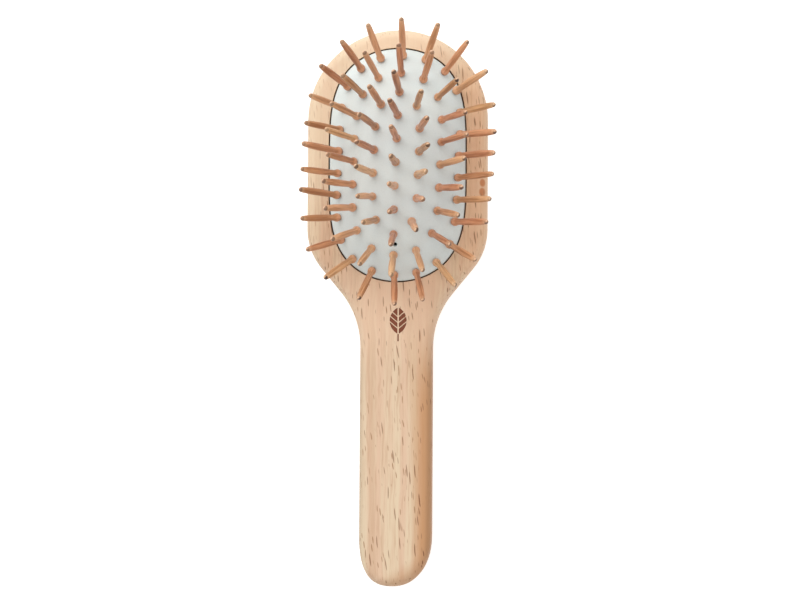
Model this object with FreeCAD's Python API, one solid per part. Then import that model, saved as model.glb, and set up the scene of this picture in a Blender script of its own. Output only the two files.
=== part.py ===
import FreeCAD, Part
import math
import os

# Paddle hairbrush with a domed rubber cushion that carries turned wooden pins.
# Frame, in millimetres: the back of the wood lies in z = 0 and the pins point to +Z,
# the head's crown is towards +Y and the handle towards -Y, and the origin is under the
# middle of the cushion.

# Wooden body, whose centre line runs a little to the left of the cushion's
BODY_SHIFT = -0.4
BODY_LENGTH = 201.0
BODY_THICKNESS = 15.0
CROWN_Y = 49.3
HEAD_RADIUS = 32.6
HEAD_SIDE_END_Y = -22.9
SHOULDER_RADIUS = 22.2
NECK_RADIUS = 31.0
NECK_SLOPE = math.radians(39.5)
HANDLE_HALF_WIDTH = 13.0
HANDLE_END_LENGTH = 19.0
HANDLE_END_POWER = 2.4
HANDLE_END_SKEW = 1.3
FRONT_ROUNDING = 3.4
BACK_ROUNDING = 6.5

# Cushion: a rubber dome over an oval rim that is flush with the front of the wood
CUSHION_HALF_WIDTH = 24.6
CUSHION_HALF_LENGTH = 42.0
CUSHION_RISE = 13.5
CUSHION_THICKNESS = 1.6
FULLNESS_ACROSS = 0.36
FULLNESS_ALONG = -0.48
FULLNESS_AT_ENDS = 0.40
RIM_POWERS = (2.0, 3.8)
BEAD_WIDTH = 1.8
BEAD_HEIGHT = 2.2
BEAD_BOTTOM_Z = 8.4
VENT_POSITION = (0.1, -29.4)
VENT_RADIUS = 0.8

# Pocket in the head
POCKET_FLOOR_Z = 5.5
RIM_GAP = 0.5
FIT_GAP = 0.3

# Stiff ring inside the pocket, which holds the cushion's bead in its groove
RING_WALL = 1.5
RING_TOP_Z = 11.0

# Pins: one turned piece each, with lengths measured along the pin from the cushion's skin
PIN_LENGTH = 19.2
PIN_TIP_RADIUS = 0.85
PIN_TIP_CROWN = 0.65
PIN_MIDDLE_RADIUS = 1.17
PIN_MIDDLE_HEIGHT = 10.5
PIN_WAIST_RADIUS = 1.06
PIN_WAIST_HEIGHT = 3.7
PIN_SHAFT_RADIUS = 1.09
PIN_SHAFT_HEIGHT = 4.7
BALL_RADIUS = 1.52
BALL_HEIGHT = 1.6
BALL_TOP_ANGLE = math.radians(40)
NECK_PIN_RADIUS = 0.85
NECK_HOLE_RADIUS = 0.97
FOOT_RADIUS = 1.9
FOOT_THICKNESS = 1.1
FOOT_CLEARANCE = 0.7

# Pin field: a centre line of pins inside three oval rings, as (name, half width, half length, count)
CENTRE_LINE_COUNT = 5
CENTRE_LINE_PITCH = 8.3
RINGS = [
    ("inner", 7.7, 25.0, 14),
    ("middle", 14.8, 32.0, 20),
    ("outer", 20.6, 38.6, 26),
]
RING_POWERS = (2.0, 5.0)
FIELD_SHIFT = (0.75, -0.6)
FIELD_TURN = math.radians(-2.2)

# How far each pin is off square to the skin: the sideways shares
# (towards +X, towards +Y) that are added to the skin's unit normal
PIN_LEANS = {
    "centre": [
        (-0.11, 0.02), (-0.05, 0.06), (-0.02, 0.02), (-0.03, 0.02),
        (0.00, 0.05),
    ],
    "inner": [
        (-0.07, -0.01), (-0.04, -0.04), (-0.04, 0.00), (-0.01, 0.01),
        (-0.02, 0.01), (-0.02, 0.01), (0.01, -0.01), (0.04, 0.04),
        (0.01, 0.10), (0.01, 0.03), (-0.03, 0.07), (-0.05, 0.03),
        (-0.05, 0.03), (-0.02, 0.02),
    ],
    "middle": [
        (-0.02, 0.02), (-0.02, 0.06), (-0.01, 0.00), (0.01, -0.06),
        (0.04, 0.03), (0.01, 0.05), (0.00, -0.02), (0.01, -0.02),
        (0.05, 0.00), (0.02, -0.05), (0.05, 0.00), (0.08, 0.04),
        (0.01, 0.03), (0.02, 0.04), (-0.01, 0.03), (0.06, 0.05),
        (-0.02, 0.05), (0.01, 0.01), (0.02, -0.01), (-0.05, 0.00),
    ],
    "outer": [
        (-0.03, 0.04), (0.05, 0.08), (0.02, 0.09), (-0.02, 0.05),
        (0.00, -0.03), (0.02, -0.05), (0.01, -0.01), (0.02, 0.02),
        (0.00, 0.01), (0.01, 0.10), (-0.02, -0.03), (0.02, 0.01),
        (0.00, 0.05), (0.10, 0.03), (0.06, 0.03), (0.01, 0.07),
        (0.05, 0.05), (0.10, 0.06), (0.08, 0.09), (0.11, 0.02),
        (0.10, 0.06), (0.11, -0.01), (0.11, -0.01), (0.11, -0.02),
        (0.08, -0.08), (-0.03, -0.03),
    ],
}

# An outer pin and the middle pin behind it share a node near the two ends of the head:
# (name, outer ring's pin on the axis, middle ring's pin on the axis, columns either side)
PAIRS = [
    ("crown", 0, 0, 2),
    ("handle", 13, 10, 1),
]

# Leaf burnt into the neck
LEAF_CENTRE = (0.6, -56.3)
LEAF_LENGTH = 9.6
LEAF_WIDTH = 6.0
LEAF_DEPTH = 0.3
LEAF_RIB_WIDTH = 0.5
LEAF_VEIN_WIDTH = 0.32
LEAF_VEIN_START = 1.7
LEAF_VEIN_PITCH = 2.1
LEAF_VEIN_COUNT = 3
LEAF_VEIN_TURN = 40.0
LEAF_STALK_LENGTH = 2.6

UP = FreeCAD.Vector(0, 0, 1)
SIDEWAYS = FreeCAD.Vector(1, 0, 0)
ORIGIN = FreeCAD.Vector(0, 0, 0)
OUTLINE_POINTS = 48
HANDLE_END_STEPS = 16
ARC_STEPS = 400
SLOPE_STEP = 0.01
SURFACE_STEP = 3.0
SURFACE_MARGIN = 2.0
CUT_MARGIN = 1.0
TALL = 60.0
LEVEL_TOLERANCE = 1e-6


def signed_power(value, power):
    return math.copysign(abs(value) ** power, value)


def oval_points(half_width, half_length, powers, count):
    """Points at even spacing round (x/half_width)^p + (y/half_length)^q = 1, from +Y towards +X."""
    fine = []
    for step in range(4 * ARC_STEPS + 1):
        angle = step * math.pi / (2 * ARC_STEPS)
        x = half_width * signed_power(math.sin(angle), 2 / powers[0])
        y = half_length * signed_power(math.cos(angle), 2 / powers[1])
        fine.append((x, y))
    travelled = [0.0]
    for before, after in zip(fine, fine[1:]):
        travelled.append(travelled[-1] + math.dist(before, after))
    points = []
    index = 0
    for number in range(count):
        target = travelled[-1] * number / count
        while travelled[index + 1] < target:
            index += 1
        part = (target - travelled[index]) / (travelled[index + 1] - travelled[index])
        x = fine[index][0] + part * (fine[index + 1][0] - fine[index][0])
        y = fine[index][1] + part * (fine[index + 1][1] - fine[index][1])
        points.append((x, y))
    return points


def oval_prism(grow, bottom, top):
    """Upright block whose outline is the cushion's rim made larger all round by grow."""
    half_width = CUSHION_HALF_WIDTH + grow
    half_length = CUSHION_HALF_LENGTH + grow
    outline = Part.BSplineCurve()
    flat = oval_points(half_width, half_length, RIM_POWERS, OUTLINE_POINTS)
    outline.interpolate([FreeCAD.Vector(x, y, bottom) for x, y in flat], PeriodicFlag=True)
    face = Part.Face(Part.Wire([outline.toShape()]))
    return face.extrude(UP * (top - bottom))


def arc_through(start, middle, end):
    points = [FreeCAD.Vector(*point) for point in (start, middle, end)]
    return Part.Arc(*points).toShape()


def line(start, end):
    return Part.makeLine(FreeCAD.Vector(*start), FreeCAD.Vector(*end))


def side_edges():
    """Right side of the body's outline in z = 0, from the crown's middle to the handle's end."""
    crown_centre_y = CROWN_Y - HEAD_RADIUS
    half = math.sqrt(0.5)
    edges = [
        arc_through(
            (0, CROWN_Y, 0),
            (HEAD_RADIUS * half, crown_centre_y + HEAD_RADIUS * half, 0),
            (HEAD_RADIUS, crown_centre_y, 0),
        ),
        line((HEAD_RADIUS, crown_centre_y, 0), (HEAD_RADIUS, HEAD_SIDE_END_Y, 0)),
    ]

    shoulder_x = HEAD_RADIUS - SHOULDER_RADIUS

    def shoulder(angle):
        x = shoulder_x + SHOULDER_RADIUS * math.cos(angle)
        y = HEAD_SIDE_END_Y - SHOULDER_RADIUS * math.sin(angle)
        return (x, y, 0)

    edges.append(arc_through(shoulder(0), shoulder(NECK_SLOPE / 2), shoulder(NECK_SLOPE)))

    width_lost = HEAD_RADIUS - HANDLE_HALF_WIDTH
    arcs_take = (SHOULDER_RADIUS + NECK_RADIUS) * (1 - math.cos(NECK_SLOPE))
    slope_length = (width_lost - arcs_take) / math.sin(NECK_SLOPE)
    slope_start = shoulder(NECK_SLOPE)
    slope_end = (
        slope_start[0] - slope_length * math.sin(NECK_SLOPE),
        slope_start[1] - slope_length * math.cos(NECK_SLOPE),
        0,
    )
    edges.append(line(slope_start, slope_end))

    neck_x = HANDLE_HALF_WIDTH + NECK_RADIUS
    neck_y = slope_end[1] - NECK_RADIUS * math.sin(NECK_SLOPE)

    def neck(angle):
        return (neck_x - NECK_RADIUS * math.cos(angle), neck_y + NECK_RADIUS * math.sin(angle), 0)

    edges.append(arc_through(slope_end, neck(NECK_SLOPE / 2), neck(0)))

    end_start_y = CROWN_Y - BODY_LENGTH + HANDLE_END_LENGTH
    edges.append(line(neck(0), (HANDLE_HALF_WIDTH, end_start_y, 0)))
    return edges


def handle_end_edge():
    """Rounded end of the handle, a little skewed, from its right side round to its left side."""
    start_y = CROWN_Y - BODY_LENGTH + HANDLE_END_LENGTH
    points = []
    for step in range(HANDLE_END_STEPS + 1):
        angle = math.pi * step / HANDLE_END_STEPS
        reach = abs(math.sin(angle)) ** (2 / HANDLE_END_POWER)
        x = HANDLE_HALF_WIDTH * signed_power(math.cos(angle), 2 / HANDLE_END_POWER)
        x -= HANDLE_END_SKEW * reach ** 2
        points.append(FreeCAD.Vector(x, start_y - HANDLE_END_LENGTH * reach, 0))
    curve = Part.BSplineCurve()
    down = FreeCAD.Vector(0, -1, 0)
    curve.interpolate(Points=points, InitialTangent=down, FinalTangent=-down)
    return curve.toShape()


def mirrored(edge):
    return edge.mirror(ORIGIN, SIDEWAYS)


def body_blank():
    right = side_edges()
    left = [mirrored(edge) for edge in reversed(right)]
    outline = Part.Wire(Part.__sortEdges__(right + [handle_end_edge()] + left))
    block = Part.Face(outline).extrude(UP * BODY_THICKNESS)
    for height, rounding in ((BODY_THICKNESS, FRONT_ROUNDING), (0.0, BACK_ROUNDING)):
        rim = [edge for edge in block.Edges if is_level(edge, height)]
        block = block.makeFillet(rounding, rim)
    block.translate(SIDEWAYS * BODY_SHIFT)
    return block


def is_level(edge, height):
    box = edge.BoundBox
    return max(abs(box.ZMin - height), abs(box.ZMax - height)) < LEVEL_TOLERANCE


def leaf_cut():
    """Shallow leaf with its rib and veins left standing, and a stalk below it."""
    half = LEAF_LENGTH / 2
    widest_y = -LEAF_LENGTH / 12
    height = 2 * LEAF_DEPTH
    right = arc_through((0, half, 0), (LEAF_WIDTH / 2, widest_y, 0), (0, -half, 0))
    left = arc_through((0, -half, 0), (-LEAF_WIDTH / 2, widest_y, 0), (0, half, 0))
    leaf = Part.Face(Part.Wire([right, left])).extrude(UP * height)
    rib_corner = FreeCAD.Vector(-LEAF_RIB_WIDTH / 2, -half, 0)
    veins = [Part.makeBox(LEAF_RIB_WIDTH, LEAF_LENGTH, height, rib_corner)]
    for number in range(LEAF_VEIN_COUNT):
        root = FreeCAD.Vector(0, LEAF_VEIN_START + LEAF_VEIN_PITCH * number - half, 0)
        vein = Part.makeBox(LEAF_WIDTH, LEAF_VEIN_WIDTH, height, root)
        vein.rotate(root, UP, LEAF_VEIN_TURN)
        veins += [vein, vein.mirror(ORIGIN, SIDEWAYS)]
    stalk_corner = rib_corner - FreeCAD.Vector(0, LEAF_STALK_LENGTH, 0)
    stalk = Part.makeBox(LEAF_RIB_WIDTH, LEAF_STALK_LENGTH, height, stalk_corner)
    pieces = leaf.cut(veins).Solids + [stalk]
    for piece in pieces:
        piece.translate(FreeCAD.Vector(*LEAF_CENTRE, BODY_THICKNESS - LEAF_DEPTH))
    return pieces


def make_body():
    pocket = oval_prism(RIM_GAP, POCKET_FLOOR_Z, BODY_THICKNESS + CUT_MARGIN)
    groove = oval_prism(
        BEAD_WIDTH + FIT_GAP,
        BEAD_BOTTOM_Z - FIT_GAP,
        BEAD_BOTTOM_Z + BEAD_HEIGHT + FIT_GAP,
    )
    return body_blank().cut([pocket, groove] + leaf_cut())


def dome_rise(x, y):
    """Height of the cushion's skin above its rim, which is zero on the rim and less outside it."""
    across = (x / CUSHION_HALF_WIDTH) ** 2
    along = (y / CUSHION_HALF_LENGTH) ** 2
    rim = across + abs(y / CUSHION_HALF_LENGTH) ** RIM_POWERS[1]
    fullness = 1 + FULLNESS_ACROSS * across + FULLNESS_ALONG * along + FULLNESS_AT_ENDS * along ** 2
    return CUSHION_RISE * (1 - rim) * fullness


def dome_slope(x, y):
    slope_x = (dome_rise(x + SLOPE_STEP, y) - dome_rise(x - SLOPE_STEP, y)) / (2 * SLOPE_STEP)
    slope_y = (dome_rise(x, y + SLOPE_STEP) - dome_rise(x, y - SLOPE_STEP)) / (2 * SLOPE_STEP)
    return slope_x, slope_y


def skin_point(x, y):
    return FreeCAD.Vector(x, y, BODY_THICKNESS + dome_rise(x, y))


def skin_normal(x, y):
    slope_x, slope_y = dome_slope(x, y)
    return FreeCAD.Vector(-slope_x, -slope_y, 1).normalize()


def under_dome(depth):
    """Block under the surface that lies depth below the cushion's skin, measured square to it."""
    half_x = CUSHION_HALF_WIDTH + SURFACE_MARGIN
    half_y = CUSHION_HALF_LENGTH + SURFACE_MARGIN
    steps_x = round(2 * half_x / SURFACE_STEP)
    steps_y = round(2 * half_y / SURFACE_STEP)
    grid = []
    for column in range(steps_x + 1):
        x = -half_x + 2 * half_x * column / steps_x
        strip = []
        for row in range(steps_y + 1):
            y = -half_y + 2 * half_y * row / steps_y
            slope_x, slope_y = dome_slope(x, y)
            drop = depth * math.sqrt(1 + slope_x ** 2 + slope_y ** 2)
            strip.append(skin_point(x, y) - UP * drop)
        grid.append(strip)
    surface = Part.BSplineSurface()
    surface.interpolate(grid)
    return surface.toShape().extrude(UP * -TALL)


def make_cushion(pins):
    outside = under_dome(0).common(oval_prism(0, BEAD_BOTTOM_Z, TALL))
    bead = oval_prism(BEAD_WIDTH, BEAD_BOTTOM_Z, BEAD_BOTTOM_Z + BEAD_HEIGHT)
    inside = under_dome(CUSHION_THICKNESS).common(oval_prism(-CUSHION_THICKNESS, 0, TALL))
    holes = [hole_along(pin.pivot, pin.direction, NECK_HOLE_RADIUS) for pin in pins]
    vent = skin_point(*VENT_POSITION)
    holes.append(hole_along(vent, skin_normal(*VENT_POSITION), VENT_RADIUS))
    return outside.fuse(bead).cut([inside] + holes)


def hole_along(point, direction, radius):
    reach = 2 * CUSHION_THICKNESS
    return Part.makeCylinder(radius, 2 * reach, point - direction * reach, direction)


def make_ring():
    """Upright wall inside the cushion's skirt, on a wider base under the cushion's bead."""
    outer = -CUSHION_THICKNESS - FIT_GAP
    wall = oval_prism(outer, POCKET_FLOOR_Z, RING_TOP_Z)
    base = oval_prism(RIM_GAP - FIT_GAP, POCKET_FLOOR_Z, BEAD_BOTTOM_Z - 2 * FIT_GAP)
    hollow = oval_prism(outer - RING_WALL, POCKET_FLOOR_Z - CUT_MARGIN, RING_TOP_Z + CUT_MARGIN)
    return wall.fuse(base).cut(hollow)


def turned_pin():
    """One pin along +Z with the cushion's skin at z = 0 and the foot below it."""
    foot_top = -CUSHION_THICKNESS - FOOT_CLEARANCE
    foot_bottom = foot_top - FOOT_THICKNESS
    chamfer = FOOT_THICKNESS / 3
    ball_drop = math.sqrt(BALL_RADIUS ** 2 - NECK_PIN_RADIUS ** 2)
    ball_end = (
        BALL_RADIUS * math.cos(BALL_TOP_ANGLE),
        0,
        BALL_HEIGHT + BALL_RADIUS * math.sin(BALL_TOP_ANGLE),
    )
    waist = (PIN_WAIST_RADIUS, 0, PIN_WAIST_HEIGHT)
    shaft_start = (PIN_SHAFT_RADIUS, 0, PIN_SHAFT_HEIGHT)
    shaft_middle = (PIN_MIDDLE_RADIUS, 0, PIN_MIDDLE_HEIGHT)
    tip_start = (PIN_TIP_RADIUS, 0, PIN_LENGTH - PIN_TIP_CROWN)
    crown_radius = (PIN_TIP_RADIUS ** 2 + PIN_TIP_CROWN ** 2) / (2 * PIN_TIP_CROWN)
    half_turn = math.asin(PIN_TIP_RADIUS / crown_radius) / 2
    tip_middle = (
        crown_radius * math.sin(half_turn),
        0,
        PIN_LENGTH - crown_radius * (1 - math.cos(half_turn)),
    )
    tip = (0, 0, PIN_LENGTH)
    edges = [
        line((0, 0, foot_bottom), (FOOT_RADIUS - chamfer, 0, foot_bottom)),
        line((FOOT_RADIUS - chamfer, 0, foot_bottom), (FOOT_RADIUS, 0, foot_bottom + chamfer)),
        line((FOOT_RADIUS, 0, foot_bottom + chamfer), (FOOT_RADIUS, 0, foot_top)),
        line((FOOT_RADIUS, 0, foot_top), (NECK_PIN_RADIUS, 0, foot_top)),
        line((NECK_PIN_RADIUS, 0, foot_top), (NECK_PIN_RADIUS, 0, BALL_HEIGHT - ball_drop)),
        arc_through(
            (NECK_PIN_RADIUS, 0, BALL_HEIGHT - ball_drop),
            (BALL_RADIUS, 0, BALL_HEIGHT),
            ball_end,
        ),
        arc_through(ball_end, waist, shaft_start),
        arc_through(shaft_start, shaft_middle, tip_start),
        arc_through(tip_start, tip_middle, tip),
        line(tip, (0, 0, foot_bottom)),
    ]
    profile = Part.Face(Part.Wire(edges))
    return profile.revolve(ORIGIN, UP, 360)


class Pin:
    """A pin set square to the cushion's skin, but for a small lean of its own."""

    def __init__(self, name, x, y, lean):
        self.name = name
        turned_x = x * math.cos(FIELD_TURN) - y * math.sin(FIELD_TURN)
        turned_y = x * math.sin(FIELD_TURN) + y * math.cos(FIELD_TURN)
        x = turned_x + FIELD_SHIFT[0]
        y = turned_y + FIELD_SHIFT[1]
        self.skin = skin_point(x, y)
        self.direction = (skin_normal(x, y) + FreeCAD.Vector(*lean, 0)).normalize()
        self.pivot = self.skin - self.direction * (CUSHION_THICKNESS / 2)

    def solid(self, blank):
        turn = FreeCAD.Rotation(UP, self.direction)
        placed = blank.copy()
        placed.Placement = FreeCAD.Placement(self.skin, turn)
        return placed


def lay_out_pins():
    places = []
    for number in range(CENTRE_LINE_COUNT):
        y = CENTRE_LINE_PITCH * ((CENTRE_LINE_COUNT - 1) / 2 - number)
        places.append((f"pin_centre_{number + 1}", 0.0, y, PIN_LEANS["centre"][number]))
    for ring, half_width, half_length, count in RINGS:
        points = oval_points(half_width, half_length, RING_POWERS, count)
        for number, ((x, y), lean) in enumerate(zip(points, PIN_LEANS[ring])):
            places.append((f"pin_{ring}_{number + 1:02d}", x, y, lean))
    return [Pin(*place) for place in places]


def pin_nodes(pins):
    """Node name to the pins in it: one pin each, but for the pairs near the two ends."""
    nodes = {pin.name: [pin] for pin in pins}
    counts = {ring: count for ring, _, _, count in RINGS}
    for end, outer_axis, middle_axis, columns in PAIRS:
        for number, column in enumerate(range(-columns, columns + 1)):
            outer = (outer_axis + column) % counts["outer"] + 1
            middle = (middle_axis + column) % counts["middle"] + 1
            pair = nodes.pop(f"pin_outer_{outer:02d}") + nodes.pop(f"pin_middle_{middle:02d}")
            nodes[f"pin_pair_{end}_{number + 1}"] = pair
    return nodes


def write(node, shape):
    shape.exportStep(f"parts/{node}.step")


def main():
    os.makedirs("parts", exist_ok=True)
    pins = lay_out_pins()
    write("brush_body", make_body())
    write("cushion", make_cushion(pins))
    write("cushion_ring", make_ring())
    blank = turned_pin()
    for node, members in pin_nodes(pins).items():
        write(node, Part.makeCompound([pin.solid(blank) for pin in members]))


main()
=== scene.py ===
import math
import random

import bmesh
import bpy
import numpy as np
from mathutils import Matrix, Vector


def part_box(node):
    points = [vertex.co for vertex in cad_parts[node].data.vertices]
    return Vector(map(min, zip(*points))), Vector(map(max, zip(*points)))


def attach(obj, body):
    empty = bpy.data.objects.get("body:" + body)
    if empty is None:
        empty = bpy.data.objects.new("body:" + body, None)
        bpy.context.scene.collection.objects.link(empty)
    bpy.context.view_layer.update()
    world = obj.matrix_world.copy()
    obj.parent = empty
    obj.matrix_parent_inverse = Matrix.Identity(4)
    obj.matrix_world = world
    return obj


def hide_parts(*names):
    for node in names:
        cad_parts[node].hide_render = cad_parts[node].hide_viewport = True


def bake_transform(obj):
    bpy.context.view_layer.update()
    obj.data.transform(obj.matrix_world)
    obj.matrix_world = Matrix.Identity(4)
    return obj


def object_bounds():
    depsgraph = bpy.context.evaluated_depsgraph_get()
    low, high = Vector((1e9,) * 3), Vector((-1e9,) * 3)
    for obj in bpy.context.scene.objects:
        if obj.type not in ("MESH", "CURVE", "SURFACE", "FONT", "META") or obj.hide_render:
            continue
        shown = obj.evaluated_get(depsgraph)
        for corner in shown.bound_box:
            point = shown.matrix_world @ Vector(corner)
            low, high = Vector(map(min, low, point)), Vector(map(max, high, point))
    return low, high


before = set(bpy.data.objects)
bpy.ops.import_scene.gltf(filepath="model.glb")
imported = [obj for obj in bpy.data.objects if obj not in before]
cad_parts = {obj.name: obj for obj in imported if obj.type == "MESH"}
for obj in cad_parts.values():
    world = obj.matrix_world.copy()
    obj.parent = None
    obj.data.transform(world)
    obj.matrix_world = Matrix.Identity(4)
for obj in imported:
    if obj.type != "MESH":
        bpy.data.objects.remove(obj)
cad_low, cad_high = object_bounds()

MM = 0.001

# Read from the frame
WOOD_FRONT_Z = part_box("brush_body")[1].z
PIN_NODES = sorted(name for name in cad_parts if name.startswith("pin_"))
MERGE_DISTANCE = 0.001 * MM

# The view: tilt of the brush against the camera's axis, and the lens that goes with the distance
VIEW_PITCH = math.radians(-2.5)
VIEW_YAW = math.radians(-5.3)
VIEW_ROLL = math.radians(-0.1)
VIEW_DISTANCE = 0.8
VIEW_OFFSET = (0.93 * MM, -48.8 * MM)
LENS = 99.8
SENSOR_WIDTH = 36.0

# Studio: the floor gives off a little light of its own, so that it comes out white
FLOOR_SIZE = 6.0
FLOOR_GAP = 0.2 * MM
FLOOR_GLOW = 0.55
SURROUND_STRENGTH = 0.68
WHITE = (1.0, 1.0, 1.0, 1.0)
# Round lamps: name, place, diameter and power
LAMPS = (
    ("key", (-0.35, 0.72, 0.75), 1.3, 7.6),
    ("fill", (0.7, -0.5, 0.9), 0.9, 0.9),
)
LAMP_AIM = Vector((0, -0.03, 0.02))

# Cushion: the dome's shape is the same formula as the rubber solid's
CUSHION_HALF_WIDTH = 24.6 * MM
CUSHION_HALF_LENGTH = 42.0 * MM
CUSHION_RISE = 13.5 * MM
CUSHION_THICKNESS = 1.6 * MM
RIM_POWER = 3.8
FULLNESS_ACROSS = 0.36
FULLNESS_ALONG = -0.48
FULLNESS_ENDS = 0.40
SLOPE_STEP = 0.01 * MM
RIM_ROUNDING = 0.5 * MM
# A ring between the dome's edge and the rim: how far inside the rim, and its share of the drop
SHOULDER_INSET = RIM_ROUNDING / 4
SHOULDER_DROP = 0.35
BEAD_WIDTH = 1.8 * MM
BEAD_TOP_Z = 10.6 * MM
BEAD_BOTTOM_Z = 8.4 * MM
BEAD_EDGE = 0.2 * MM
VENT_PLACE = (0.1 * MM, -29.4 * MM)
VENT_RADIUS = 0.8 * MM
VENT_DEPTH = 6 * MM
VENT_SIDES = 32
# The skin rises a little round each pin
PUCKER_HEIGHT = 0.3 * MM
PUCKER_RADIUS = 1.7 * MM
PUCKER_REACH = 4.5 * MM
# Points round the rim, steps tried for each to space them evenly, rings of the dome and inside it
RIM_POINTS = 288
RIM_FINENESS = 40
DOME_RINGS = 72
INSIDE_RINGS = 36
SHARP_ANGLE = math.radians(50)

# Pins: distance above the rubber's skin and radius, in millimetres
PIN_LENGTH = 19.2
PIN_PROFILE = [
    (-3.4, 0.0),
    (-3.4, 1.45),
    (-3.1, 1.85),
    (-2.5, 1.88),
    (-2.3, 1.5),
    (-2.28, 0.84),
    (0.05, 0.84),
    (0.3, 1.02),
    (0.7, 1.33),
    (1.25, 1.5),
    (1.8, 1.5),
    (2.4, 1.35),
    (3.0, 1.16),
    (3.8, 1.1),
    (5.2, 1.12),
    (8.0, 1.18),
    (10.8, 1.21),
    (13.5, 1.18),
    (16.0, 1.08),
    (17.9, 0.96),
    (18.6, 0.83),
    (18.97, 0.58),
    (19.14, 0.3),
    (19.2, 0.0),
]
PIN_SIDES = 28
PIN_STEPS = 3
# What differs from pin to pin: thickness, bow in millimetres, turn in degrees, which sets the side
# of the tip that gets painted shade, and the tip's stain, partly painted shade
PIN_SEED = 5
PIN_THICKNESS = (0.95, 1.05)
PIN_BOW = 0.12
PIN_TURN = (-75, -15)
STAIN_AND_SHADE_LEVEL = (0.5, 1.0)
# Pins that lean towards the upper left, where the light comes from, get less painted shade on
# their tips
KEY_SIDE = Vector((-0.7, 0.7, 0.0))
TIP_SHADE_FADE = 0.75

# Noise patterns: cells per metre, for each axis where the pattern is stretched, detail, roughness
WIDE_BEND = ((30, 9, 30), 2.0, 0.5)
CLOSE_BEND = ((90, 75, 60), 2.0, 0.5)
BANDS = ((260, 6, 120), 3.0, 0.55)
BROAD_BANDS = ((85, 5, 60), 2.0, 0.5)
BEECH_FIBRES = ((1500, 60, 1500), 3.0, 0.6)
DASH_PATCHES = ((120, 60, 120), 2.0, 0.5)
PIN_STREAKS = ((900, 900, 55), 2.0, 0.55)
PIN_FIBRES = ((3200, 3200, 160), 3.0, 0.6)
RUBBER_CLOUD = (60, 3.0, 0.5)
RUBBER_GRAIN = (2600, 2.0, 0.5)
RING_TEXTURE = (1800, 3.0, 0.5)
# Nearly all of a noise's values lie between these, round the middle
NOISE_SPREAD = (0.3, 0.7)
NOISE_MIDDLE = 0.5

# Tones laid over a material by a noise or a pin's own number: where in it the tone starts, where
# it is full, its strength before and after, and its colour
PINK_BANDS = (0.38, 0.62, 0.0, 1.0, "pink beech")
TAN_BANDS = (0.5, 0.72, 0.0, 0.6, "tan beech")
BROWN_FIBRES = (0.42, 0.7, 0.0, 0.5, "beech fibre")
PIN_BROWN_FIBRES = (0.46, 0.74, 0.0, 0.5, "pin fibre")
DARK_PINS = (0.5, 1.0, 0.0, 0.36, "dark pin")
PALE_PINS = (0.0, 0.5, 0.34, 0.0, "pale pin")
RUBBER_SPECKS = (0.45, 0.75, 0.0, 0.15, "rubber grain")
# Where in the streaks' noise a pin goes from its light tone to its dark one
DARK_STREAKS = (0.4, 0.62)

# The beech's grain: how far it sways sideways, and the slope of its rays
WIDE_SWAY = 6 * MM
CLOSE_SWAY = 1.8 * MM
STRIPE_SWAY = 6 * MM
RAY_LEAN = 0.1
# Dashes: size of the cell that holds one, in millimetres, and a shift of the whole pattern
LONG_DASHES = ((1.1, 11, 1.6), (0.3, 0.1, 0.2))
FINE_DASHES = ((0.9, 6.5, 1.2), (0.7, 0.4, 0.9))
# A dash's size by its own number: from, to, smallest and largest, then the width of its soft edge
DASH_SIZES = (0.1, 0.8, 0.45 * 0.26, 0.26)
DASH_EDGE = 0.35
FINE_DASH_PATCHES = (0.35, 0.6, 0.35, 0.9)
LONG_DASH_STRENGTH = 0.66
HEART_DASH_STRENGTH = 0.25

# From here on, a span is where a tone starts and stops changing, in millimetres.
# Stripes along the wood: spans of the left and the right side, strength, colour. The heartwood's
# stripe is partly painted shade on the wood's right side, away from the light, and keeps a share
# of its strength beyond its right side as painted shade
HEART_AND_SHADE_STRIPE = ((4.6, 10.0), (12.5, 19.0), 0.9)
RIGHT_SIDE_SHADE = 0.3
HANDLE_STRIPES = (
    # Painted highlight on the handle's left rounding, towards the light
    ((-14.2, -12.8), (-11.6, -10.8), 0.5, "left rounding highlight"),
    ((-11.0, -9.8), (-8.6, -7.2), 0.55, "rosy stripe"),
    # Painted shade on the handle's right rounding, away from the light
    ((10.0, 12.2), (13.5, 17.0), 0.6, "shaded right edge"),
    # Painted shade along the handle's left side wall
    ((-17.0, -14.2), (-13.3, -11.6), 0.7, "shaded left edge"),
)
# Strength of stripes and of other areas: span, then strength before and after it. A slope slants
# the edge of an area
HEART_AND_SHADE_FADE = ((-90, -55), 1.0, 0.4)
STRIPES_FADE = ((-84, -52), 1.0, 0.25)
# Painted light on the neck below the cushion, where the cushion and pins cast shade
THROAT_LIGHT = ((-76, -52), 0.0, 0.6)
THROAT_LIGHT_SIDE = ((10, 22), 1.0, 0.0)
# Painted light on the head's right rim, against the pins' shade
RIGHT_RIM_LIGHT = ((19, 27), 0.0, 0.28)
# Painted shade on the handle end's lower and right rounding, turned away from the light
END_SHADE = ((144, 151), 0.0, 0.65)
END_SHADE_SLOPE = 0.6
# A creamy crown, partly pale wood and partly painted light falling from the top
CREAMY_LIT_CROWN = ((0, 34), 0.0, 0.6)
CREAMY_LIT_SLOPE = 0.9
# Knots: middle, half width and half length in millimetres
KNOTS = ((30.7, -6.6, 1.0, 1.5), (30.6, -9.9, 1.1, 1.6))
KNOT_EDGE = (0.35, 1.4)
KNOT_DEPTH = ((2, 4.5), 0.8, 0.0)
# Burnt leaf: the box round it, within which recessed wood is scorched, and how deep the recess is
LEAF_MIDDLE = (0.6 * MM, -57.6 * MM)
LEAF_REACH = (4.0 * MM, 7.2 * MM)
LEAF_EDGE = 0.5 * MM
BURN_START = ((0.03, 0.2), 0.0, 1.0)
BURN_END = ((1, 1.5), 1.0, 0.0)
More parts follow.
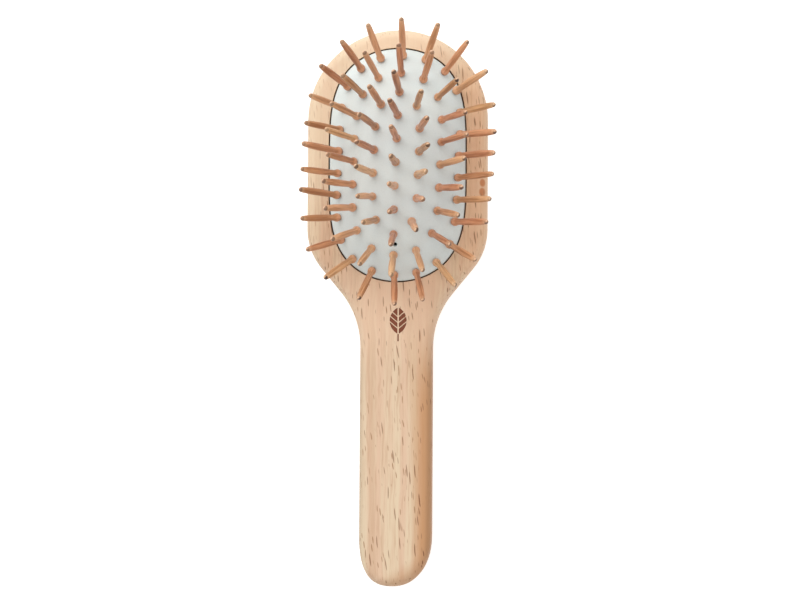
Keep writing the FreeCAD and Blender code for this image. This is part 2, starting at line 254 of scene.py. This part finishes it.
# Pins, by the height above the rubber's skin and, for the tip, by the place across it. Painted
# shade darkens the seat on the rubber; the tip's dark stain is partly painted shade, on the side
# away from the light, and its lit side is a painted highlight
PIN_SEAT_SHADE = ((0.3, 1.7), 0.6, 0.0)
BALL_START = ((0.9, 1.6), 0.0, 0.4)
BALL_END = ((2.2, 3.2), 1.0, 0.0)
PALER_END = ((16.8, 18.4), 0.0, 0.3)
TIP_SHADE_START = ((18.2, 18.6), 0.0, 1.0)
TIP_SHADE_SIDE = ((-0.5, 0.25), 0.2, 1.0)
TIP_END = ((18.86, 19.02), 0.0, 1.0)
TIP_LIT_SIDE = ((-0.32, 0.08), 0.85, 0.0)
# Painted shade on the rubber in the gap between it and the wood, by the height above the wood's
# front
GAP_SHADE_SPAN = (-1.4, -0.5)
GAP_SHADE_STRENGTH = 0.85

# How far the beech's fibres stand out, and how deep its dashes lie, in its relief
FIBRE_HEIGHT = 0.5
DASH_HEIGHT = -0.6
# Relief: strength and distance. Roughness: its range over the material's noise
BEECH_RELIEF = (0.3, 0.1 * MM)
BEECH_ROUGHNESS = (0.5, 0.6)
PIN_RELIEF = (0.15, 0.06 * MM)
PIN_ROUGHNESS = (0.3, 0.44)
RUBBER_RELIEF = (0.12, 0.05 * MM)
RUBBER_ROUGHNESS = (0.42, 0.5)
RING_RELIEF = (0.2, 0.05 * MM)
RING_ROUGHNESS = (0.5, 0.65)

# Colours, 8-bit sRGB
COLORS = {
    "cream beech": (234, 210, 178),
    "pink beech": (230, 196, 166),
    "tan beech": (220, 182, 147),
    "beech fibre": (200, 158, 124),
    "heartwood and shade": (202, 148, 102),
    "left rounding highlight": (228, 209, 178),
    "rosy stripe": (212, 172, 140),
    "shaded right edge": (172, 128, 90),
    "shaded left edge": (200, 176, 146),
    "lit_throat": (252, 216, 184),
    "lit right rim": (252, 200, 152),
    "shaded handle end": (200, 152, 112),
    "creamy lit crown": (244, 220, 188),
    "knot": (194, 114, 60),
    "fine dash": (166, 122, 88),
    "long dash": (128, 80, 50),
    "deep scorch": (118, 64, 42),
    "light scorch": (156, 92, 66),
    "yellow pin, light": (232, 184, 132),
    "yellow pin, dark": (188, 138, 90),
    "red pin, light": (226, 158, 116),
    "red pin, dark": (184, 118, 80),
    "pin fibre": (136, 86, 56),
    "dark pin": (136, 80, 54),
    "pale pin": (248, 204, 160),
    "pin seat shade": (122, 76, 54),
    "pin ball": (236, 180, 146),
    "paler end": (236, 200, 162),
    "tip stain and shade": (60, 32, 20),
    "lit tip": (240, 194, 156),
    "cool rubber": (225, 235, 234),
    "warm rubber": (231, 240, 237),
    "rubber grain": (200, 208, 207),
    "gap": (176, 116, 78),
    "dark plastic": (66, 52, 44),
    "light plastic": (82, 66, 56),
    "floor": (246, 246, 246),
}


def srgb(red, green, blue):
    """Linear colour with alpha from 8-bit sRGB values."""

    def linear(value):
        value /= 255
        return value / 12.92 if value <= 0.04045 else ((value + 0.055) / 1.055) ** 2.4

    return (linear(red), linear(green), linear(blue), 1.0)


class Shader:
    """A material's node tree, with short calls for the nodes that the materials here share."""

    def __init__(self, name):
        self.material = bpy.data.materials.new(name)
        self.material.use_nodes = True
        self.nodes = self.material.node_tree.nodes
        self.links = self.material.node_tree.links
        self.surface = self.nodes["Principled BSDF"]

    def node(self, kind, inputs=(), **settings):
        """A new node; inputs are given by name."""
        made = self.nodes.new(kind)
        for name, value in settings.items():
            setattr(made, name, value)
        for name, value in dict(inputs).items():
            self.feed(made.inputs[name], value)
        return made

    def feed(self, socket, value):
        """Links a socket, or sets it to a value or to one of COLORS by name."""
        if isinstance(value, bpy.types.NodeSocket):
            self.links.new(value, socket)
        elif isinstance(value, str):
            socket.default_value = srgb(*COLORS[value])
        else:
            socket.default_value = value

    def position(self):
        """The place on the piece, in its own coordinates."""
        return self.node("ShaderNodeTexCoord").outputs["Object"]

    def split(self, vector):
        """A vector's three parts."""
        return self.node("ShaderNodeSeparateXYZ", {"Vector": vector}).outputs

    def moved(self, vector, offset):
        """A vector moved by an offset."""
        made = self.node("ShaderNodeVectorMath", operation="ADD")
        self.feed(made.inputs[0], vector)
        self.feed(made.inputs[1], offset)
        return made.outputs[0]

    def stretched(self, vector, scale):
        """A vector with each part scaled on its own."""
        made = self.node("ShaderNodeMapping", {"Vector": vector, "Scale": scale})
        return made.outputs["Vector"]

    def noise(self, vector, scale, detail, roughness):
        """Smooth noise from 0 to 1; a scale of three numbers stretches it."""
        if isinstance(scale, tuple):
            vector, scale = self.stretched(vector, scale), 1.0
        made = self.node(
            "ShaderNodeTexNoise",
            {"Vector": vector, "Scale": scale, "Detail": detail, "Roughness": roughness},
        )
        return made.outputs["Fac"]

    def math(self, operation, first, second=0.0):
        """One operation on one or two numbers."""
        made = self.node("ShaderNodeMath", operation=operation)
        self.feed(made.inputs[0], first)
        self.feed(made.inputs[1], second)
        return made.outputs[0]

    def product(self, first, second):
        """The first number times the second."""
        return self.math("MULTIPLY", first, second)

    def total(self, first, second):
        """The first number plus the second."""
        return self.math("ADD", first, second)

    def difference(self, first, second):
        """The first number minus the second."""
        return self.math("SUBTRACT", first, second)

    def ramp(self, value, low, high, before=0.0, after=1.0):
        """Smooth step from before to after as a value goes from low to high."""
        made = self.node(
            "ShaderNodeMapRange",
            {
                "Value": value,
                "From Min": low,
                "From Max": high,
                "To Min": before,
                "To Max": after,
            },
            interpolation_type="SMOOTHSTEP",
        )
        return made.outputs["Result"]

    def step(self, value, span, before, after):
        """Smooth step from before to after over a span in millimetres."""
        low, high = span
        return self.ramp(value, low * MM, high * MM, before, after)

    def spread(self, noise, low=0.0, high=1.0):
        """A noise's usual values spread from low to high."""
        return self.ramp(noise, *NOISE_SPREAD, low, high)

    def mix(self, share, first, second):
        """The first colour with a share of the second laid over it."""
        made = self.node("ShaderNodeMix", data_type="RGBA")
        self.feed(made.inputs["Factor"], share)
        self.feed(made.inputs["A"], first)
        self.feed(made.inputs["B"], second)
        return made.outputs["Result"]

    def layer(self, color, value, start, full, before, after, tone):
        """A tone laid over a colour with a strength that follows a value."""
        return self.mix(self.ramp(value, start, full, before, after), color, tone)

    def bump(self, height, strength, distance):
        """Fine relief of the surface."""
        made = self.node(
            "ShaderNodeBump", {"Height": height, "Strength": strength, "Distance": distance}
        )
        self.links.new(made.outputs["Normal"], self.surface.inputs["Normal"])

    def finish(self, color, roughness, specular):
        """The finished material."""
        self.feed(self.surface.inputs["Base Color"], color)
        self.feed(self.surface.inputs["Roughness"], roughness)
        self.surface.inputs["Specular IOR Level"].default_value = specular
        return self.material


def dashes(shader, position, cell, shift):
    """Dark dashes along Y: each cell of a stretched Voronoi pattern holds one, of its own size."""
    moved = shader.moved(position, shift)
    scaled = shader.stretched(moved, tuple(1 / (size * MM) for size in cell))
    cells = shader.node(
        "ShaderNodeTexVoronoi",
        {"Vector": scaled, "Scale": 1.0, "Randomness": 1.0},
        feature="F1",
    )
    size = shader.ramp(shader.split(cells.outputs["Color"])[0], *DASH_SIZES)
    inside = shader.difference(1.0, shader.math("DIVIDE", cells.outputs["Distance"], size))
    return shader.ramp(inside, 0.0, DASH_EDGE)


def bent_grain(shader, position, lean):
    """The wood's own coordinates: grain along Y that sways sideways and leans by a slope."""
    wide = shader.noise(position, *WIDE_BEND)
    close = shader.noise(position, *CLOSE_BEND)
    shift = shader.total(shader.product(wide, WIDE_SWAY), shader.product(close, CLOSE_SWAY))
    slant = shader.product(shader.split(position)[1], lean)
    shift = shader.total(shift, slant)
    offset = shader.node("ShaderNodeCombineXYZ", {"X": shift})
    return shader.moved(position, offset.outputs[0])


def stripe(shader, x, left_span, right_span, strength, beyond=0.0):
    """Strength of a stripe along Y; beyond is the share that stays to its right."""
    left = shader.step(x, left_span, 0.0, strength)
    return shader.product(left, shader.step(x, right_span, 1.0, beyond))


def knot(shader, axes, x, y, half_width, half_length):
    """A small soft-edged oval, as strong as 1 in its middle. Sizes are in millimetres."""
    across = shader.math("DIVIDE", shader.difference(axes[0], x * MM), half_width * MM)
    along = shader.math("DIVIDE", shader.difference(axes[1], y * MM), half_length * MM)
    away = shader.total(shader.product(across, across), shader.product(along, along))
    return shader.ramp(away, *KNOT_EDGE, 1.0, 0.0)


def beech_areas(shader, axes, color):
    """Lays the broad areas of another tone over the wood: painted light below the cushion and on
    the right rim, painted shade at the handle's end, and a crown partly lit by painted light. Also
    returns the crown's strength.
    """
    # Painted light below the cushion, against the shade that the cushion and pins cast
    lit_throat = shader.step(axes[1], *THROAT_LIGHT)
    from_middle = shader.math("ABSOLUTE", axes[0])
    lit_throat = shader.product(lit_throat, shader.step(from_middle, *THROAT_LIGHT_SIDE))
    color = shader.mix(lit_throat, color, "lit_throat")
    # Painted light on the right rim
    color = shader.mix(shader.step(axes[0], *RIGHT_RIM_LIGHT), color, "lit right rim")
    # Painted shade at the handle's end
    toward_end = shader.difference(shader.product(axes[0], END_SHADE_SLOPE), axes[1])
    color = shader.mix(shader.step(toward_end, *END_SHADE), color, "shaded handle end")
    # Creamy crown, partly painted light from the top
    toward_crown = shader.difference(axes[1], shader.product(axes[0], CREAMY_LIT_SLOPE))
    creamy_and_lit = shader.step(toward_crown, *CREAMY_LIT_CROWN)
    return shader.mix(creamy_and_lit, color, "creamy lit crown"), creamy_and_lit


def burnt_leaf(shader, axes, depth, fibres, color):
    """Scorches the leaf's recess."""
    burnt = shader.product(shader.step(depth, *BURN_START), shader.step(depth, *BURN_END))
    for axis, middle, reach in zip(axes, LEAF_MIDDLE, LEAF_REACH):
        away = shader.math("ABSOLUTE", shader.difference(axis, middle))
        near = shader.ramp(away, reach, reach + LEAF_EDGE, 1.0, 0.0)
        burnt = shader.product(burnt, near)
    scorch = shader.mix(fibres, "deep scorch", "light scorch")
    return shader.mix(burnt, color, scorch)


def beech(name):
    """Sanded beech with grain along Y, dashes of darker ray, and a burnt mark in its recess. Its
    stripes and broad areas also hold painted highlight, painted shade and painted light.
    """
    shader = Shader(name)
    position = shader.position()
    axes = shader.split(position)
    grain = bent_grain(shader, position, 0.0)
    rays = bent_grain(shader, position, RAY_LEAN)

    bands = shader.noise(grain, *BANDS)
    broad = shader.noise(grain, *BROAD_BANDS)
    fibres = shader.noise(grain, *BEECH_FIBRES)
    color = shader.layer("cream beech", bands, *PINK_BANDS)
    color = shader.layer(color, broad, *TAN_BANDS)
    color = shader.layer(color, fibres, *BROWN_FIBRES)

    sway = shader.product(shader.difference(broad, NOISE_MIDDLE), STRIPE_SWAY)
    x = shader.total(axes[0], sway)
    # Heartwood stripe, partly painted shade on the right side, away from the light
    heart_and_shade = stripe(shader, x, *HEART_AND_SHADE_STRIPE, RIGHT_SIDE_SHADE)
    heart_and_shade = shader.product(heart_and_shade, shader.step(axes[1], *HEART_AND_SHADE_FADE))
    color = shader.mix(heart_and_shade, color, "heartwood and shade")
    in_handle = shader.step(axes[1], *STRIPES_FADE)
    for left_span, right_span, strength, tone in HANDLE_STRIPES:
        share = stripe(shader, x, left_span, right_span, strength)
        color = shader.mix(shader.product(share, in_handle), color, tone)
    color, creamy_and_lit = beech_areas(shader, axes, color)

    depth = shader.difference(WOOD_FRONT_Z, axes[2])
    knots = shader.math("MAXIMUM", *(knot(shader, axes, *oval) for oval in KNOTS))
    shallow = shader.step(depth, *KNOT_DEPTH)
    color = shader.mix(shader.product(knots, shallow), color, "knot")

    # The dashes are stronger in the heartwood, and fade in the creamy crown and its painted light
    long_dash = dashes(shader, rays, *LONG_DASHES)
    fine_dash = dashes(shader, rays, *FINE_DASHES)
    patches = shader.noise(position, *DASH_PATCHES)
    fine_dash = shader.product(fine_dash, shader.ramp(patches, *FINE_DASH_PATCHES))
    strength = shader.total(shader.product(heart_and_shade, HEART_DASH_STRENGTH), LONG_DASH_STRENGTH)
    clear = shader.difference(1.0, creamy_and_lit)
    strength = shader.product(strength, clear)
    fine_dash = shader.product(fine_dash, clear)
    color = shader.mix(fine_dash, color, "fine dash")
    color = shader.mix(shader.product(long_dash, strength), color, "long dash")
    color = burnt_leaf(shader, axes, depth, fibres, color)

    pits = shader.product(shader.total(long_dash, fine_dash), DASH_HEIGHT)
    relief = shader.total(shader.product(fibres, FIBRE_HEIGHT), pits)
    shader.bump(relief, *BEECH_RELIEF)
    return shader.finish(color, shader.spread(fibres, *BEECH_ROUGHNESS), specular=0.3)


def pin_wood(name):
    """Turned wood with its grain along the pin, a polished end, painted shade at its seat and on
    one side of the tip, and a painted highlight on the other. Tone is set per pin.
    """
    shader = Shader(name)
    position = shader.position()
    across, _, height = shader.split(position)
    tone = shader.node("ShaderNodeAttribute", attribute_name="tone").outputs["Color"]
    redness, stain_and_shade_level, darkness = shader.split(tone)
    grain = shader.moved(position, tone)
    streaks = shader.noise(grain, *PIN_STREAKS)
    fibres = shader.noise(grain, *PIN_FIBRES)

    light = shader.mix(redness, "yellow pin, light", "red pin, light")
    dark = shader.mix(redness, "yellow pin, dark", "red pin, dark")
    color = shader.mix(shader.ramp(streaks, *DARK_STREAKS), light, dark)
    color = shader.layer(color, fibres, *PIN_BROWN_FIBRES)
    color = shader.layer(color, darkness, *DARK_PINS)
    color = shader.layer(color, darkness, *PALE_PINS)

    # Painted shade where the pin's foot meets the rubber
    color = shader.mix(shader.step(height, *PIN_SEAT_SHADE), color, "pin seat shade")
    ball = shader.product(shader.step(height, *BALL_START), shader.step(height, *BALL_END))
    color = shader.mix(ball, color, "pin ball")
    # The pin grows paler towards its end
    color = shader.mix(shader.step(height, *PALER_END), color, "paler end")
    # A dark stain on the tip, partly painted shade on the side turned away from the light
    stain = shader.product(shader.step(height, *TIP_SHADE_START), shader.step(across, *TIP_SHADE_SIDE))
    color = shader.mix(shader.product(stain, stain_and_shade_level), color, "tip stain and shade")
    lit = shader.product(shader.step(height, *TIP_END), shader.step(across, *TIP_LIT_SIDE))
    color = shader.mix(lit, color, "lit tip")

    shader.bump(streaks, *PIN_RELIEF)
    return shader.finish(color, shader.spread(fibres, *PIN_ROUGHNESS), specular=0.5)


def cushion_rubber(name):
    """Pale grey satin rubber with a faint mottle, a fine moulded texture, and brown painted shade
    low in the gap by the wood.
    """
    shader = Shader(name)
    position = shader.position()
    cloud = shader.noise(position, *RUBBER_CLOUD)
    grain = shader.noise(position, *RUBBER_GRAIN)
    color = shader.mix(shader.spread(cloud), "cool rubber", "warm rubber")
    color = shader.layer(color, grain, *RUBBER_SPECKS)
    height = shader.split(position)[2]
    # Brown painted shade on the rubber in the gap below the wood's front
    low, high = (WOOD_FRONT_Z + edge * MM for edge in GAP_SHADE_SPAN)
    color = shader.mix(shader.ramp(height, low, high, GAP_SHADE_STRENGTH, 0.0), color, "gap")
    shader.bump(grain, *RUBBER_RELIEF)
    return shader.finish(color, shader.spread(cloud, *RUBBER_ROUGHNESS), specular=0.4)


def ring_plastic(name):
    """Moulded dark brown plastic with a fine spark-eroded texture."""
    shader = Shader(name)
    texture = shader.noise(shader.position(), *RING_TEXTURE)
    color = shader.mix(shader.spread(texture), "dark plastic", "light plastic")
    shader.bump(texture, *RING_RELIEF)
    return shader.finish(color, shader.spread(texture, *RING_ROUGHNESS), specular=0.4)


def paint(piece, material):
    """Gives a piece one material in place of any it has."""
    piece.data.materials.clear()
    piece.data.materials.append(material)


def add_object(name, data):
    """A new object in the scene."""
    made = bpy.data.objects.new(name, data)
    bpy.context.scene.collection.objects.link(made)
    return made


def to_data(mesh, name):
    """Mesh data from a bmesh, which is then freed."""
    data = bpy.data.meshes.new(name)
    mesh.to_mesh(data)
    mesh.free()
    return data


def dome_rise(x, y):
    """Height of the rubber's skin above the wood's front."""
    across = (x / CUSHION_HALF_WIDTH) ** 2
    along = (y / CUSHION_HALF_LENGTH) ** 2
    rim = across + abs(y / CUSHION_HALF_LENGTH) ** RIM_POWER
    fullness = 1 + FULLNESS_ACROSS * across + FULLNESS_ALONG * along + FULLNESS_ENDS * along ** 2
    return CUSHION_RISE * (1 - rim) * fullness


def dome_normal(x, y):
    """Direction square to the rubber's skin."""
    step = SLOPE_STEP
    slope_x = (dome_rise(x + step, y) - dome_rise(x - step, y)) / (2 * step)
    slope_y = (dome_rise(x, y + step) - dome_rise(x, y - step)) / (2 * step)
    return Vector((-slope_x, -slope_y, 1)).normalized()


def read_pins():
    """Each pin of each CAD node, as (node, point on the rubber's skin, direction)."""
    found = []
    for node in PIN_NODES:
        mesh = bmesh.new()
        mesh.from_mesh(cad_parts[node].data)
        bmesh.ops.remove_doubles(mesh, verts=mesh.verts, dist=MERGE_DISTANCE)
        pins = []
        for faces in islands(mesh):
            area = sum(face.calc_area() for face in faces)
            middle = Vector()
            for face in faces:
                middle += face.calc_center_median() * (face.calc_area() / area)
            corners = {vert for face in faces for vert in face.verts}
            tip = max(corners, key=lambda vert: (vert.co - middle).length).co.copy()
            direction = (tip - middle).normalized()
            pins.append((node, tip - direction * PIN_LENGTH * MM, direction))
        pins.sort(key=lambda pin: -pin[1].length)
        found += pins
        mesh.free()
    return found


def islands(mesh):
    """The faces of each separate shell."""
    left = set(mesh.faces)
    shells = []
    while left:
        shell = set()
        edge = [min(left, key=lambda face: face.index)]
        while edge:
            face = edge.pop()
            if face not in shell:
                shell.add(face)
                edge.extend(near for side in face.edges for near in side.link_faces)
        left -= shell
        shells.append(sorted(shell, key=lambda face: face.index))
    return shells


def pin_outline():
    """The turned profile as a smooth curve through its points."""
    points = [Vector(point) for point in PIN_PROFILE]
    curve = [points[0]]
    for number in range(len(points) - 1):
        before = points[max(number - 1, 0)]
        start, end = points[number], points[number + 1]
        after = points[min(number + 2, len(points) - 1)]
        for step in range(1, PIN_STEPS + 1):
            t = step / PIN_STEPS
            spot = 0.5 * (
                2 * start
                + (end - before) * t
                + (2 * before - 5 * start + 4 * end - after) * t ** 2
                + (3 * start - before - 3 * end + after) * t ** 3
            )
            curve.append(Vector((spot.x, max(spot.y, 0.0))))
    return curve


def pin_mesh(name, outline, draw, stain_and_shade_share):
    """One lathe-turned pin along +Z, with its own slight thickness, curve, tone, and strength of
    the tip's stain and painted shade.
    """
    thickness = draw.uniform(*PIN_THICKNESS)
    bow = Vector((draw.uniform(-1, 1), draw.uniform(-1, 1), 0)) * PIN_BOW * MM
    mesh = bmesh.new()
    rings = []
    for height, radius in outline[1:-1]:
        share = max(0.0, height / PIN_LENGTH)
        middle = bow * math.sin(math.pi * share)
        ring = []
        for side in range(PIN_SIDES):
            angle = 2 * math.pi * side / PIN_SIDES
            spot = Vector((math.cos(angle), math.sin(angle), 0)) * radius * thickness * MM
            ring.append(mesh.verts.new(middle + spot + Vector((0, 0, height * MM))))
        rings.append(ring)
    for low, high in zip(rings, rings[1:]):
        for side in range(PIN_SIDES):
            after = (side + 1) % PIN_SIDES
            mesh.faces.new((low[side], low[after], high[after], high[side]))
    for ring, height, order in ((rings[0], outline[0].x, -1), (rings[-1], outline[-1].x, 1)):
        pole = mesh.verts.new((0, 0, height * MM))
        for side in range(PIN_SIDES):
            corners = (ring[side], ring[(side + 1) % PIN_SIDES], pole)
            mesh.faces.new(corners[::order])
    data = to_data(mesh, name)
    data.shade_smooth()
    tone = data.color_attributes.new("tone", "FLOAT_COLOR", "POINT")
    value = (draw.random(), draw.uniform(*STAIN_AND_SHADE_LEVEL) * stain_and_shade_share, draw.random(), 1.0)
    tone.data.foreach_set("color", value * len(data.vertices))
    return data


def make_pins(pins, material):
    """A turned pin on the axis of each CAD pin, riding on that pin's body."""
    outline = pin_outline()
    draw = random.Random(PIN_SEED)
    seen = {}
    for node, skin, direction in pins:
        number = seen[node] = seen.get(node, 0) + 1
        name = f"turned_{node}" if number == 1 else f"turned_{node}_b"
        # Less painted shade on the tips of pins that lean towards the light
        toward_light = max(0.0, direction.dot(KEY_SIDE))
        stain_and_shade_share = 1 - TIP_SHADE_FADE * toward_light
        piece = add_object(name, pin_mesh(name, outline, draw, stain_and_shade_share))
        tilt = Vector((0, 0, 1)).rotation_difference(direction).to_matrix().to_4x4()
        # The turn sets which side of the tip gets painted shade
        turn = Matrix.Rotation(math.radians(draw.uniform(*PIN_TURN)), 4, "Z")
        piece.matrix_world = Matrix.Translation(skin) @ tilt @ turn
        paint(piece, material)
        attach(piece, node)
        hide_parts(node)


def rim_point(angle, grow=0.0):
    """Point on the cushion's rim, grown outwards, at an angle from +X."""
    c, s = math.cos(angle), math.sin(angle)
    x = (CUSHION_HALF_WIDTH + grow) * c
    y = (CUSHION_HALF_LENGTH + grow) * math.copysign(abs(s) ** (2 / RIM_POWER), s)
    return x, y


def rim_angles():
    """Angles that space points evenly along the rim."""
    steps = RIM_POINTS * RIM_FINENESS
    fine = [2 * math.pi * step / steps for step in range(steps + 1)]
    spots = np.array([rim_point(angle) for angle in fine])
    lengths = np.hypot(*np.diff(spots, axis=0).T)
    travelled = np.concatenate([[0], np.cumsum(lengths)])
    return np.interp(np.arange(RIM_POINTS) * travelled[-1] / RIM_POINTS, travelled, fine)


def skin_place(x, y, pins):
    """Point of the cushion's skin, puckered up a little round each pin."""
    point = Vector((x, y, WOOD_FRONT_Z + dome_rise(x, y)))
    normal = dome_normal(x, y)
    lift = 0.0
    for skin, direction in pins:
        offset = point - skin
        away = (offset - direction * offset.dot(direction)).length
        if away < PUCKER_REACH:
            lift += PUCKER_HEIGHT * math.exp(-((away / PUCKER_RADIUS) ** 2))
    return point + normal * lift


def dome_rings(angles, count, grow, drop, pins):
    """Rings of points of the dome from its middle outwards, drop below the skin, square to it."""
    rings = []
    for step in range(1, count + 1):
        share = step / count
        ring = []
        for angle in angles:
            x, y = rim_point(angle, grow)
            x, y = x * share, y * share
            sink = Vector((0, 0, drop / dome_normal(x, y).z))
            ring.append(skin_place(x, y, pins) - sink)
        rings.append(ring)
    return rings


def cushion_rings(angles, pins):
    """Rings of points from the skin's middle over the rim, skirt and bead to the inside's."""
    rings = dome_rings(angles, DOME_RINGS, -RIM_ROUNDING, 0.0, pins)
    rim_z = WOOD_FRONT_Z - RIM_ROUNDING
    shoulder = []
    for angle, inner in zip(angles, rings[-1]):
        x, y = rim_point(angle, -SHOULDER_INSET)
        shoulder.append(Vector((x, y, inner.z + SHOULDER_DROP * (rim_z - inner.z))))
    rings.append(shoulder)
    for grow, z in (
        (0.0, rim_z),
        (0.0, BEAD_TOP_Z + BEAD_EDGE),
        (0.0, BEAD_TOP_Z),
        (BEAD_WIDTH - BEAD_EDGE, BEAD_TOP_Z),
        (BEAD_WIDTH, BEAD_TOP_Z - BEAD_EDGE),
        (BEAD_WIDTH, BEAD_BOTTOM_Z + BEAD_EDGE),
        (BEAD_WIDTH - BEAD_EDGE, BEAD_BOTTOM_Z),
        (0.0, BEAD_BOTTOM_Z),
        (-CUSHION_THICKNESS, BEAD_BOTTOM_Z),
    ):
        rings.append([Vector((*rim_point(angle, grow), z)) for angle in angles])
    inside = dome_rings(angles, INSIDE_RINGS, -CUSHION_THICKNESS, CUSHION_THICKNESS, [])
    return rings + inside[::-1]


def make_cushion(pins, material):
    """Closed rubber moulding: domed skin, rounded rim, skirt, bead, and the hollow inside."""
    axes = [(skin, direction) for _, skin, direction in pins]
    rings = cushion_rings(rim_angles(), axes)
    mesh = bmesh.new()
    top = mesh.verts.new(skin_place(0, 0, axes))
    bottom = mesh.verts.new(skin_place(0, 0, []) - Vector((0, 0, CUSHION_THICKNESS)))
    made = [[mesh.verts.new(point) for point in ring] for ring in rings]
    for number in range(RIM_POINTS):
        after = (number + 1) % RIM_POINTS
        mesh.faces.new((top, made[0][number], made[0][after]))
        mesh.faces.new((bottom, made[-1][after], made[-1][number]))
        for inner, outer in zip(made, made[1:]):
            mesh.faces.new((inner[number], outer[number], outer[after], inner[after]))
    piece = add_object("cushion_skin", to_data(mesh, "cushion_skin"))
    bpy.context.view_layer.objects.active = piece

    punch = vent_punch()
    cut = piece.modifiers.new("vent", "BOOLEAN")
    cut.operation = "DIFFERENCE"
    cut.object = punch
    cut.solver = "EXACT"
    bpy.ops.object.modifier_apply(modifier=cut.name)
    bpy.data.objects.remove(punch)
    piece.data.shade_smooth()
    piece.data.set_sharp_from_angle(angle=SHARP_ANGLE)
    paint(piece, material)
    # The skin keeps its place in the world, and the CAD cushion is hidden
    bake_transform(piece)
    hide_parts("cushion")


def vent_punch():
    """A rod square to the skin that cuts the vent hole."""
    x, y = VENT_PLACE
    spot = Vector((x, y, WOOD_FRONT_Z + dome_rise(x, y)))
    tilt = Vector((0, 0, 1)).rotation_difference(dome_normal(x, y))
    mesh = bmesh.new()
    bmesh.ops.create_cone(
        mesh,
        cap_ends=True,
        segments=VENT_SIDES,
        radius1=VENT_RADIUS,
        radius2=VENT_RADIUS,
        depth=VENT_DEPTH,
    )
    punch = add_object("punch", to_data(mesh, "punch"))
    punch.matrix_world = Matrix.Translation(spot) @ tilt.to_matrix().to_4x4()
    return punch


def make_stage():
    """A white table top, an even white surround, and the lamps, the key at the upper left."""
    mesh = bmesh.new()
    bmesh.ops.create_grid(mesh, x_segments=1, y_segments=1, size=FLOOR_SIZE)
    floor = add_object("floor", to_data(mesh, "floor"))
    floor.location.z = cad_low.z - FLOOR_GAP
    floor.visible_diffuse = False
    shader = Shader("floor_white")
    shader.surface.inputs["Emission Color"].default_value = WHITE
    shader.surface.inputs["Emission Strength"].default_value = FLOOR_GLOW
    paint(floor, shader.finish("floor", roughness=0.9, specular=0.1))

    world = bpy.data.worlds.new("surround")
    world.use_nodes = True
    background = world.node_tree.nodes["Background"]
    background.inputs["Color"].default_value = WHITE
    background.inputs["Strength"].default_value = SURROUND_STRENGTH
    bpy.context.scene.world = world

    for lamp in LAMPS:
        add_lamp(*lamp)
    bpy.context.scene.view_settings.view_transform = "Standard"


def add_lamp(name, place, size, power):
    """A round lamp that points at the brush."""
    light = bpy.data.lights.new(name, "AREA")
    light.shape = "DISK"
    light.size = size
    light.energy = power
    lamp = add_object(name, light)
    lamp.location = place
    aim = LAMP_AIM - Vector(place)
    lamp.rotation_euler = aim.to_track_quat("-Z", "Y").to_euler()


def make_camera():
    """The camera, placed against the wood's front face."""
    turn = (
        Matrix.Rotation(VIEW_ROLL, 3, "Z")
        @ Matrix.Rotation(VIEW_YAW, 3, "Y")
        @ Matrix.Rotation(VIEW_PITCH, 3, "X")
    )
    seen_from = turn.transposed()
    data = bpy.data.cameras.new("camera")
    data.lens = LENS
    data.sensor_width = SENSOR_WIDTH
    camera = add_object("camera", data)
    place = seen_from @ Vector((*VIEW_OFFSET, VIEW_DISTANCE)) + Vector((0, 0, WOOD_FRONT_Z))
    camera.matrix_world = Matrix.Translation(place) @ seen_from.to_4x4()
    bpy.context.scene.camera = camera


def main():
    """Makes the view, the studio and the brush."""
    make_camera()
    make_stage()
    paint(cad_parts["brush_body"], beech("beech_wood"))
    paint(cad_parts["cushion_ring"], ring_plastic("ring_plastic"))
    pins = read_pins()
    make_pins(pins, pin_wood("turned_wood"))
    make_cushion(pins, cushion_rubber("grey_rubber"))


main()
